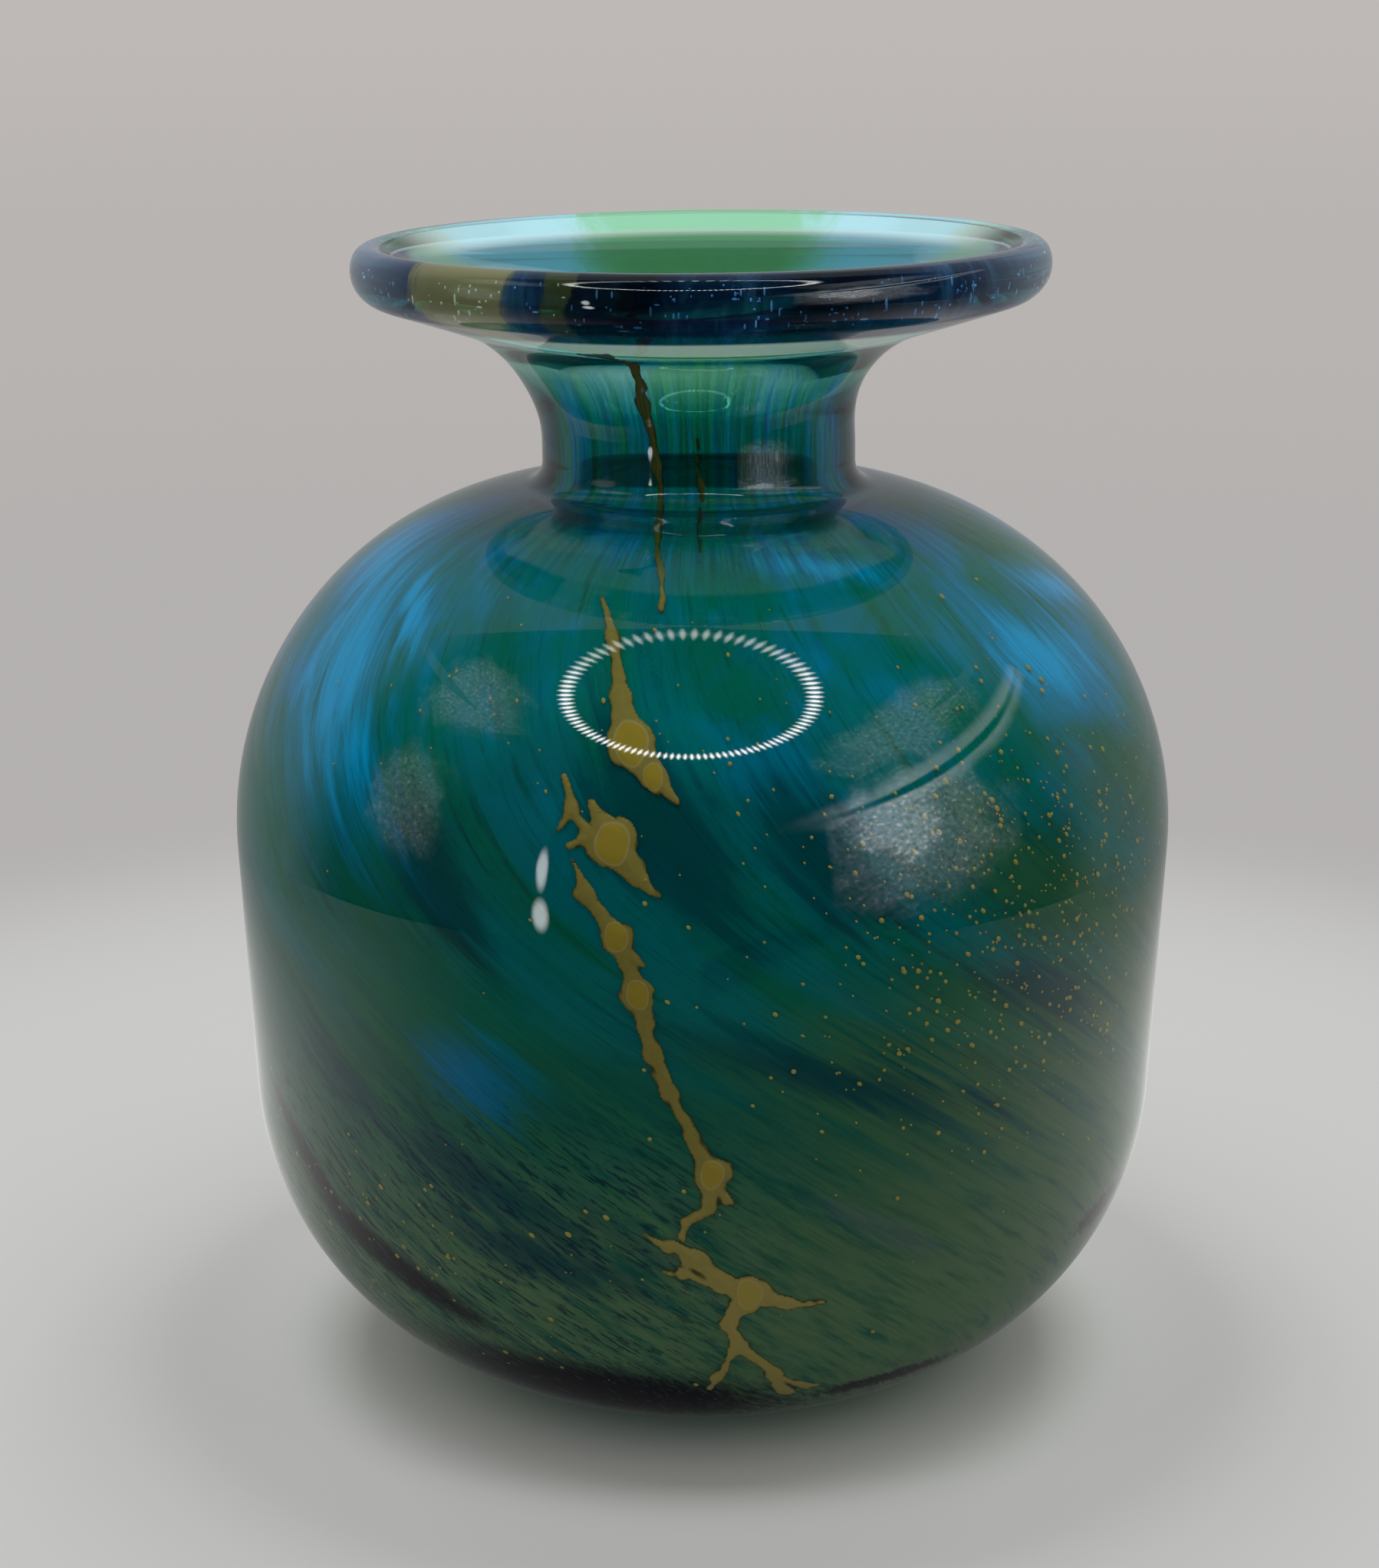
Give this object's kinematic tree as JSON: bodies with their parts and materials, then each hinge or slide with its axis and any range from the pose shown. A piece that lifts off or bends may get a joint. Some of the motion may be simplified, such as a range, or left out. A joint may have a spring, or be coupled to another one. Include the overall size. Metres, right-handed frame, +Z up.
{
  "type": "art glass vase",
  "caption": "Squat blown glass vase with a flared rounded lip, short neck and wide shoulders, its colour layer fused between an inner gather and a clear casing.",
  "frame": {"origin": "centre of the flat foot, on the surface it stands on", "axes": "+Z up along the axis of the vase, -Y towards the front where the ochre trail runs down, +X to the viewer's right"},
  "size_m": [0.1234, 0.1234, 0.1501],
  "materials": {
    "casing": "polished, fire smooth",
    "gather": "polished, lightly tinted teal",
    "coat": "teal and sea green powder colour, streaked",
    "azure": "azure colour chip",
    "cobalt": "dense cobalt, almost black",
    "lip_cobalt": "cobalt blue seen through the lip",
    "ochre": "opaque ochre",
    "ochre_window": "ochre and olive, half clear",
    "lilac": "greyed lilac"
  },
  "bodies": {
    "root": {"clear_casing": "casing", "inner_gather": "gather", "colour_coat": "coat", "lip_cobalt_band": "lip_cobalt", "lip_ochre_window": "ochre_window", "ochre_neck_thread": "ochre", "ochre_trail_shoulder": "ochre", "ochre_trail_middle": "ochre", "ochre_trail_chain": "ochre", "ochre_trail_foot": "ochre", "ochre_frit": "ochre", "azure_patch_shoulder_left": "azure", "azure_patch_shoulder_right": "azure", "azure_patch_front": "azure", "azure_patch_back": "azure", "lilac_patch": "lilac", "cobalt_streak_left": "cobalt", "cobalt_streak_foot": "cobalt", "cobalt_streak_right": "cobalt", "cobalt_streak_back": "cobalt"}
  },
  "joints": []
}
